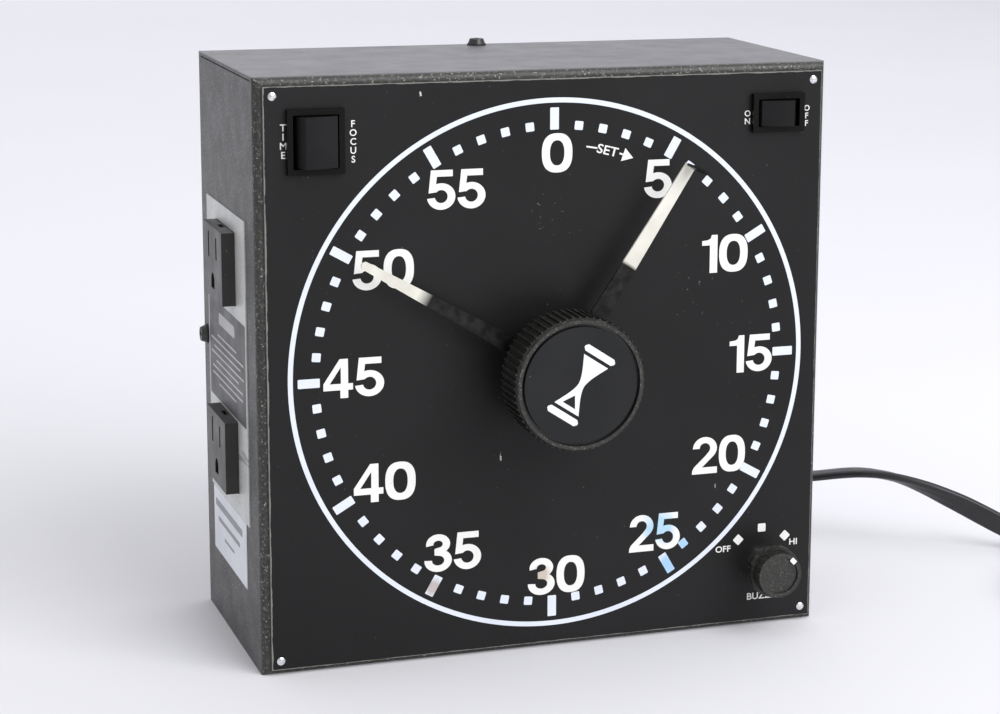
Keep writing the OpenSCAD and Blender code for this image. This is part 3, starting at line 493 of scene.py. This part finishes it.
def buildCord():
    centre = cord["coilCentre"]
    lead = smoothRoute([Vector(p) for p in cord["route"]], 4)
    coil = []
    endAngle = cord["coilEnd"] - 360 * (cord["wholeTurns"] + 1)
    total = cord["coilStart"] - endAngle
    steps = int(total / cord["coilStep"])
    for k in range(steps):
        turned = total * k / steps
        angle = math.radians(cord["coilStart"] - turned)
        radius = cord["coilOuter"] - cord["turnGap"] * turned / 360
        left = total - turned
        rise = 0.0
        if left < cord["climbFrom"]:   # the last half turn climbs inside the ring, then goes over it
            share = 1 - left / cord["climbFrom"]
            rise = cord["climb"] * (share * share * (3 - 2 * share))
            radius += max(0.0, share - cord["overFrom"]) / 0.38 * cord["over"]
        coil.append(Vector((centre[0] + radius * math.cos(angle), centre[1] + radius * math.sin(angle),
                            cord["coilHigh"] + rise)))
    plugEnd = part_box("plug_body")
    tailEnd = Vector(((plugEnd[0].x + plugEnd[1].x) / 2, plugEnd[1].y,
                      (plugEnd[0].z + plugEnd[1].z) / 2)) / mm
    tail = smoothRoute([Vector(p) for p in cord["tail"]] + [tailEnd], 4)
    path = lead + coil + tail
    lengths = [0.0]
    for a, b in zip(path, path[1:]):
        lengths.append(lengths[-1] + (b - a).length)
    return path, lengths, lengths[len(lead) + len(coil) - 1]


def flexSection(width, thick, count=28):
    # flat cord of three cores with a groove between each two
    section = []
    for k in range(count):
        turn = 2 * math.pi * k / count
        across = width / 2 * math.cos(turn)
        up = thick / 2 * math.copysign(abs(math.sin(turn)) ** 0.55, math.sin(turn))
        groove = math.exp(-((abs(across) - width / 6) / 0.42) ** 2)
        section.append((across, up * (1 - 0.3 * groove)))
    return section


def tubeMesh(name, path, section, turns):
    # sweeps a section along a path; turns gives its tilt at each point, 0 lies flat and 90 stands on edge
    mesh = bpy.data.meshes.new(name)
    work = bmesh.new()
    rings = []
    for i, point in enumerate(path):
        ahead = (path[min(i + 1, len(path) - 1)] - path[max(i - 1, 0)]).normalized()
        side = ahead.cross(Vector((0, 0, 1))).normalized()
        up = side.cross(ahead)
        tilt = math.radians(turns[i])
        wide = math.cos(tilt) * side + math.sin(tilt) * up
        thin = math.cos(tilt) * up - math.sin(tilt) * side
        rings.append([work.verts.new((point + wide * a + thin * b) * mm) for a, b in section])
    count = len(section)
    for a, b in zip(rings, rings[1:]):
        for k in range(count):
            work.faces.new((a[k], a[(k + 1) % count], b[(k + 1) % count], b[k]))
    work.faces.new(list(reversed(rings[0])))
    work.faces.new(rings[-1])
    bmesh.ops.recalc_face_normals(work, faces=work.faces)
    work.to_mesh(mesh)
    work.free()
    return smoothMesh(mesh, 60)


def between(table, value):
    for (a, x), (b, y) in zip(table, table[1:]):
        if value <= b:
            share = max(0.0, (value - a) / (b - a))
            share = share * share * (3 - 2 * share)
            return x + (y - x) * share
    return table[-1][1]


def makeCord():
    path, lengths, coilEnd = buildCord()
    whole = lengths[-1]
    table = cord["twist"] + [(coilEnd - 90, 90), (coilEnd - 5, 0), (whole, 0)]
    turns = [between(table, s) for s in lengths]
    mesh = tubeMesh("flex", path, flexSection(cord["width"], cord["thick"]), turns)
    piece = addPiece("flat_power_cord", mesh, "case_body", coats["cordRubber"])
    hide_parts("power_cord", "cord_coil", "cord_tail")
    print("cord length", round(whole))


makeCord()


def arc(cx, cy, rx, ry, start, end, count=16):
    turns = [math.radians(start + (end - start) * k / count) for k in range(count + 1)]
    return [(cx + rx * math.cos(t), cy + ry * math.sin(t)) for t in turns]


def oval(cx, cy, rx, ry, power=2.0, count=44):
    out = []
    for k in range(count):
        c, s = math.cos(2 * math.pi * k / count), math.sin(2 * math.pi * k / count)
        out.append((cx + rx * math.copysign(abs(c) ** (2 / power), c),
                    cy + ry * math.copysign(abs(s) ** (2 / power), s)))
    return out


def barShape(centre, size, turn=0.0, corner=0.0):
    # an upright bar turned clockwise about its centre, with its corners cut by a little
    w, h = size[0] / 2, size[1] / 2
    points = []
    for sx, sy in ((-1, -1), (1, -1), (1, 1), (-1, 1)):
        pair = [(sx * (w - corner), sy * h), (sx * w, sy * (h - corner))]
        points += pair[::-1] if sx * sy > 0 else pair
    a = math.radians(-turn)
    return [(centre[0] + x * math.cos(a) - y * math.sin(a), centre[1] + x * math.sin(a) + y * math.cos(a))
            for x, y in points]


def onClock(angle, radius):
    return radius * math.sin(math.radians(angle)), radius * math.cos(math.radians(angle))


# outlines of the dial's digits for a height of 1
digits = {
    "0": (0.80, [oval(0.40, 0.5, 0.40, 0.5, 2.5), oval(0.40, 0.5, 0.19, 0.32, 2.3)]),
    "1": (0.43, [[(0.43, 0), (0.43, 1), (0.27, 1), (0.23, 0.90), (0.15, 0.865), (0, 0.85), (0, 0.73),
                  (0.22, 0.73),
                  (0.22, 0)]]),
    "2": (0.76, [arc(0.385, 0.69, 0.365, 0.31, 180, -40) + [(0.30, 0.175), (0.76, 0.175), (0.76, 0), (0, 0),
                 (0.01, 0.10), (0.06, 0.19), (0.42, 0.50)] + arc(0.385, 0.69, 0.16, 0.145, -40, 180)]),
    "3": (0.76, [arc(0.38, 0.735, 0.335, 0.265, 190, -42) + [(0.60, 0.538)] + arc(0.38, 0.30, 0.38, 0.30, 46,
                                                                                  -184, 22)
                 + arc(0.38, 0.30, 0.17, 0.13, -184, 90, 18) + [(0.28, 0.445), (0.28, 0.615)]
                 + arc(0.38, 0.735, 0.13, 0.095, -90, 190, 18)]),
    "4": (0.77, [[(0.44, 0), (0.645, 0), (0.645, 0.205), (0.77, 0.205), (0.77, 0.37), (0.645, 0.37),
                  (0.645, 1),
                  (0.43, 1), (0, 0.38), (0, 0.205), (0.44, 0.205)],
                  [(0.165, 0.37), (0.455, 0.37), (0.455, 0.79)]]),
    "5": (0.77, [[(0.11, 1), (0.70, 1), (0.70, 0.835), (0.27, 0.835), (0.245, 0.635)]
                 + arc(0.385, 0.335, 0.385, 0.335, 110, -172, 22) + arc(0.385, 0.335, 0.175, 0.165, -170, 140,
                                                                        18)
                 + [(0.235, 0.445), (0.045, 0.425)]]),
}


def numberShapes(text, centre, width, height, gap=0.05):
    total = sum(digits[c][0] for c in text) + gap * (len(text) - 1)
    scale = width / total
    start = centre[0] - width / 2
    shapes = []
    for c in text:
        wide, outlines = digits[c]
        for outline in outlines:
            shapes.append([(start + x * scale, centre[1] + (y - 0.5) * height) for x, y in outline])
        start += (wide + gap) * scale
    return shapes


def fillMesh(name, shapes):
    # flat shapes with their holes, filled and given a thickness
    curve = bpy.data.curves.new(name, "CURVE")
    curve.dimensions = "2D"
    curve.fill_mode = "BOTH"
    curve.extrude = 0.04
    for shape in shapes:
        line = curve.splines.new("POLY")
        line.points.add(len(shape) - 1)
        for point, (x, y) in zip(line.points, shape):
            point.co = (x, y, 0, 1)
        line.use_cyclic_u = True
    holder = bpy.data.objects.new(name, curve)
    mesh = bpy.data.meshes.new_from_object(holder)
    bpy.data.objects.remove(holder)
    return mesh


def letterMesh(text):
    # built-in letters, centred on the origin, one unit high
    curve = bpy.data.curves.new("letters", "FONT")
    curve.body = text
    curve.offset = 0.012 if "M" not in text else 0.004
    curve.fill_mode = "BOTH"
    curve.extrude = 0.04
    curve.resolution_u = 4
    holder = bpy.data.objects.new("letters", curve)
    mesh = bpy.data.meshes.new_from_object(holder)
    bpy.data.objects.remove(holder)
    xs = [v.co.x for v in mesh.vertices]
    ys = [v.co.y for v in mesh.vertices]
    high = max(ys) - min(ys)
    mesh.transform(Matrix.Translation((-(max(xs) + min(xs)) / 2, -(max(ys) + min(ys)) / 2, 0)))
    mesh.transform(Matrix.Diagonal((1 / high, 1 / high, 1, 1)))
    return mesh, (max(xs) - min(xs)) / high


faces = {
    "front": Matrix(((1, 0, 0), (0, 0, -1), (0, 1, 0))).to_4x4(),    # across is +X, up is +Z
    "left": Matrix(((0, 0, -1), (-1, 0, 0), (0, 1, 0))).to_4x4(),    # across is -Y, up is +Z
}


def layPrint(name, mesh, face, origin, body, material):
    mesh.transform(Matrix.Translation(origin) @ faces[face] @ Matrix.Scale(mm, 4))
    return addPiece(name, mesh, body, material)


def joinMeshes(name, parts):
    work = bmesh.new()
    for part in parts:
        work.from_mesh(part)
    mesh = bpy.data.meshes.new(name)
    work.to_mesh(mesh)
    work.free()
    return mesh


def word(text, centre, height, width=None, turn=0.0):
    mesh, wide = letterMesh(text)
    stretch = 1.0 if width is None else width / (wide * height)
    mesh.transform(Matrix.Translation((*centre, 0)) @ Matrix.Rotation(math.radians(-turn), 4, "Z")
                   @ Matrix.Diagonal((height * stretch, height, 1, 1)))
    return mesh


def stackedWord(text, centre, letter, height):
    pitch = (height - letter) / (len(text) - 1)
    top = centre[1] + (height - letter) / 2
    return [word(c, (centre[0], top - i * pitch), letter) for i, c in enumerate(text)]


dial = {
    "ringOuter": 92.8, "ringWidth": 1.7, "minorAt": 83.5, "minor": 3.0, "majorAt": 85.7, "major": (3.1, 7.5),
    "numberHeight": 13.4,
    "numbers": {"0": (1.0, 74.0, 10.9), "5": (37.6, 63.6, 10.2), "10": (63, 36.3, 17.2),
                "15": (73.6, -0.1, 16.2),
                "20": (62.1, -36, 20.2), "25": (38.2, -62.5, 19.2), "30": (1.6, -74.7, 20.9),
                "35": (-36, -62.7, 20.3),
                "40": (-59.9, -35.9, 21.6), "45": (-70.3, 1.0, 20.9), "50": (-59.9, 37.2, 21.2),
                "55": (-34.5, 63.1, 20.4)},
    "setAt": 76.6, "dash": (10.1, 4.0, 0.55), "setWord": (14.5, 3.2, 7.7), "arrow": (19.8, 5.3, 2.35),
}


def printDial():
    origin = (dialX, panelFront - printLift, dialZ)
    outer = dial["ringOuter"]
    ring = [oval(0, 0, outer, outer, 2, 200), oval(0, 0, outer - dial["ringWidth"], outer - dial["ringWidth"],
                                                   2, 200)]
    for minute in range(60):
        angle = 6 * minute
        if minute % 5:
            ring.append(barShape(onClock(angle, dial["minorAt"]), (dial["minor"], dial["minor"]), angle,
                                 0.25))
        else:
            ring.append(barShape(onClock(angle, dial["majorAt"]), dial["major"], angle, 0.2))
    layPrint("dial_ring_marks", fillMesh("ringMarks", ring), "front", origin, "case_body",
             coats["ringInk"])
    shapes = []
    for text, (u, v, width) in dial["numbers"].items():
        shapes += numberShapes(text, (u, v), width, dial["numberHeight"])
    layPrint("dial_numbers", fillMesh("numbers", shapes), "front", origin, "case_body",
             coats["numberInk"])
    # the turning arrow follows the circle
    angle, length, thick = dial["dash"]
    marks = [barShape(onClock(angle, dial["setAt"]), (length, thick), angle)]
    angle, length, head = dial["arrow"]
    a = math.radians(-angle)
    cx, cy = onClock(angle, dial["setAt"])
    tip, neck = length / 2, length / 2 - 2 * head + 0.8
    pointer = [(-tip, -0.3), (neck, -0.3), (neck, -head), (tip, 0), (neck, head), (neck, 0.3), (-tip, 0.3)]
    marks.append([(cx + x * math.cos(a) - y * math.sin(a), cy + x * math.sin(a) + y * math.cos(a)) for x,
                  y in pointer])
    angle, height, width = dial["setWord"]
    legend = [fillMesh("arrowMarks", marks), word("SET", onClock(angle, dial["setAt"]), height, width, angle)]
    layPrint("set_arrow", joinMeshes("setArrow", legend), "front", origin, "case_body",
             coats["numberInk"])


legends = {
    "stacked": [("TIME", (-93.1, 81.3), 2.3, 11.3), ("FOCUS", (-69.7, 80.5), 2.25, 14.0),
                ("ON", (70.5, 83.7), 2.1, 4.8),
                ("OFF", (92.9, 83.6), 2.0, 7.3)],
    "level": [("OFF", (64.5, -71.2), 2.3, 5.8), ("HI", (91.8, -70.8), 2.3, 3.0),
              ("BUZZER", (80.9, -89.9), 2.5, 13.4)],
    "buzzerMark": 3.0, "buzzerRadius": 12.8, "buzzerTurns": (-45, 0, 45),
}


def printLegends():
    parts = []
    for text, centre, letter, height in legends["stacked"]:
        parts += stackedWord(text, centre, letter, height)
    for text, centre, height, width in legends["level"]:
        parts.append(word(text, centre, height, width))
    low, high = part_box("buzzer_shaft")
    across, up = (low.x + high.x) / 2 / mm - dialX / mm, (low.z + high.z) / 2 / mm - dialZ / mm
    marks = []
    for turn in legends["buzzerTurns"]:
        x, y = onClock(turn, legends["buzzerRadius"])
        marks.append(barShape((across + x, up + y), (legends["buzzerMark"], legends["buzzerMark"]), turn,
                              0.25))
    parts.append(fillMesh("buzzerMarks", marks))
    layPrint("panel_legends", joinMeshes("legends", parts), "front", (dialX, panelFront - printLift, dialZ),
             "case_body", coats["numberInk"])
    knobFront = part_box("buzzer_knob")[0].y
    index = fillMesh("index", [barShape(onClock(45, 6.9), (2.3, 1.7), 45, 0.2)])
    layPrint("buzzer_index", index, "front", ((low.x + high.x) / 2, knobFront - printLift,
                                              (low.z + high.z) / 2),
             "buzzer_spindle", coats["numberInk"])


knobMark = {"tilt": 33.4, "half": 13, "wide": 6.3, "neck": 1.1, "bar": 2.4, "gap": 1.2, "corner": 0.9}


def printKnobMark():
    # a plain hourglass between two bars
    half, wide, neck, bar, gap = (knobMark[k] for k in ("half", "wide", "neck", "bar", "gap"))
    inner = half - bar - gap
    right = [(neck + (wide - gap - neck) * (1 - math.cos(math.pi / 2 * k / 8)) ** 0.8,
              inner * k / 8) for k in range(9)]
    glass = [(x, -y) for x, y in reversed(right)] + right[1:]
    glass += [(-x, y) for x, y in reversed(right)] + [(-x, -y) for x, y in right[1:]]
    sand = [(0, -inner * 0.42), (wide * 0.42, -inner * 0.84), (-wide * 0.42, -inner * 0.84)]
    shapes = [glass, sand, barShape((0, half - bar / 2), (2 * wide, bar), 0, knobMark["corner"]),
              barShape((0, bar / 2 - half), (2 * wide, bar), 0, knobMark["corner"])]
    mesh = fillMesh("hourglass", shapes)
    mesh.transform(Matrix.Rotation(math.radians(-knobMark["tilt"]), 4, "Z"))
    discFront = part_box("knob_disc")[0].y
    layPrint("knob_mark", mesh, "front", (dialX, discFront - printLift, dialZ), "second_shaft",
             coats["markInk"])


sideLabel = {"blockLow": 82, "blockHigh": 117.5, "lineGap": 2.5, "line": 0.7}


def printLabel():
    # a dark block with plain bars in place of printed lines, and bars on the foil and the lower sticker
    low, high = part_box("outlet_label")
    origin = (low.x - printLift, (low.y + high.y) / 2, 0)
    wide = (high.y - low.y) / mm
    block = [barShape((0, (sideLabel["blockLow"] + sideLabel["blockHigh"]) / 2),
                      (wide - 3, sideLabel["blockHigh"] - sideLabel["blockLow"]), 0, 0.4)]
    layPrint("label_block", fillMesh("labelBlock", block), "left", origin, "case_body",
             coats["labelInk"])
    bars = []
    for i, share in enumerate((0.5, 0.86, 0.7, 0.86, 0.6, 0.8, 0.8, 0.45)):
        bars.append(barShape((0, sideLabel["blockHigh"] - 12 - i * sideLabel["lineGap"]),
                             (share * wide, sideLabel["line"])))
    bars.append(barShape((0, sideLabel["blockHigh"] - 5.5), (0.42 * wide, 4.2), 0, 0.8))
    lineOrigin = (origin[0] - 0.05 * mm, origin[1], 0)
    layPrint("label_lines", fillMesh("labelLines", bars), "left", lineOrigin, "case_body",
             coats["barInk"])
    low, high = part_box("lower_sticker")
    wide = (high.y - low.y) / mm
    rows = []
    for i, (share, thick) in enumerate(((0.82, 2.6), (0.66, 1.6), (0.3, 1.0))):
        rows.append(barShape((-0.03 * wide, high.z / mm - 5.5 - 5.4 * i), (share * wide, thick), 0, 0.3))
    layPrint("sticker_lines", fillMesh("stickerLines", rows), "left",
             (low.x - printLift, (low.y + high.y) / 2, 0), "case_body", coats["stickerInk"])


printDial()
printLegends()
printKnobMark()
printLabel()
print("print laid")


def makeStage():
    # a pale sheet that rises behind the timer
    stage = {"half": 4.0, "front": -4.0, "depth": 2.4, "bend": 0.9, "height": 2.6}
    profile = [(stage["front"], 0.0), (stage["depth"], 0.0)]
    for k in range(1, 13):
        turn = math.pi / 2 * k / 12
        profile.append((stage["depth"] + stage["bend"] * math.sin(turn),
                        stage["bend"] * (1 - math.cos(turn))))
    profile.append((stage["depth"] + stage["bend"], stage["height"]))
    material, tree, shader, place = nodeTree("paper", {"Roughness": 0.7})
    tone = noiseOf(tree, place, 3, 2)
    paper = mixOf(tree, tone, (0.79, 0.79, 0.83), (0.82, 0.82, 0.86))
    # the sheet is painted darker towards the left and the front: painted shade
    leftward = addNode(tree, "ShaderNodeVectorMath", {0: place, 1: (-0.8, -0.6, 0)}, operation="DOT_PRODUCT")
    paintedFloorShade = stepOf(tree, leftward.outputs["Value"], -0.35, 0.42, 0, 0.75)
    recolour(tree, shader, mixOf(tree, paintedFloorShade, paper, (0.66, 0.66, 0.67)))
    stripMesh("sweep", profile, stage["half"], material)


def stripMesh(name, profile, half, material):
    mesh = bpy.data.meshes.new(name)
    work = bmesh.new()
    rows = [[work.verts.new((x, y, z)) for x in (-half, half)] for y, z in profile]
    for a, b in zip(rows, rows[1:]):
        work.faces.new((a[0], a[1], b[1], b[0]))
    work.to_mesh(mesh)
    work.free()
    return addObject(name, smoothMesh(mesh), material)


def addLight(name, place, target, size, power, tint=(1, 1, 1)):
    data = bpy.data.lights.new(name, "AREA")
    data.shape = "RECTANGLE"
    data.size, data.size_y = size
    data.energy = power
    data.color = tint
    obj = addObject(name, data)
    obj.location = place
    obj.rotation_euler = (Vector(target) - Vector(place)).to_track_quat("-Z", "Y").to_euler()


def lightStage():
    room = {"tint": (0.965, 0.965, 1.0), "strength": 0.7}
    bpy.context.scene.view_settings.view_transform = "Standard"
    world = bpy.data.worlds.new("room")
    world.use_nodes = True
    world.node_tree.nodes["Background"].inputs["Color"].default_value = (*room["tint"], 1)
    world.node_tree.nodes["Background"].inputs["Strength"].default_value = room["strength"]
    bpy.context.scene.world = world
    addLight("overhead", (0.2, 0.0, 2.2), (0.2, 0.2, 0), (2.4, 2.0), 10)
    addLight("wallWash", (0.1, 1.7, 2.4), (0.1, 3.3, 0.9), (3, 1), 14)
    addLight("frontFill", (0.9, -1.7, 1.5), (0, 0, 0.1), (1.8, 1.8), 46)


makeStage()
lightStage()
aimCamera()
print("stage ready")
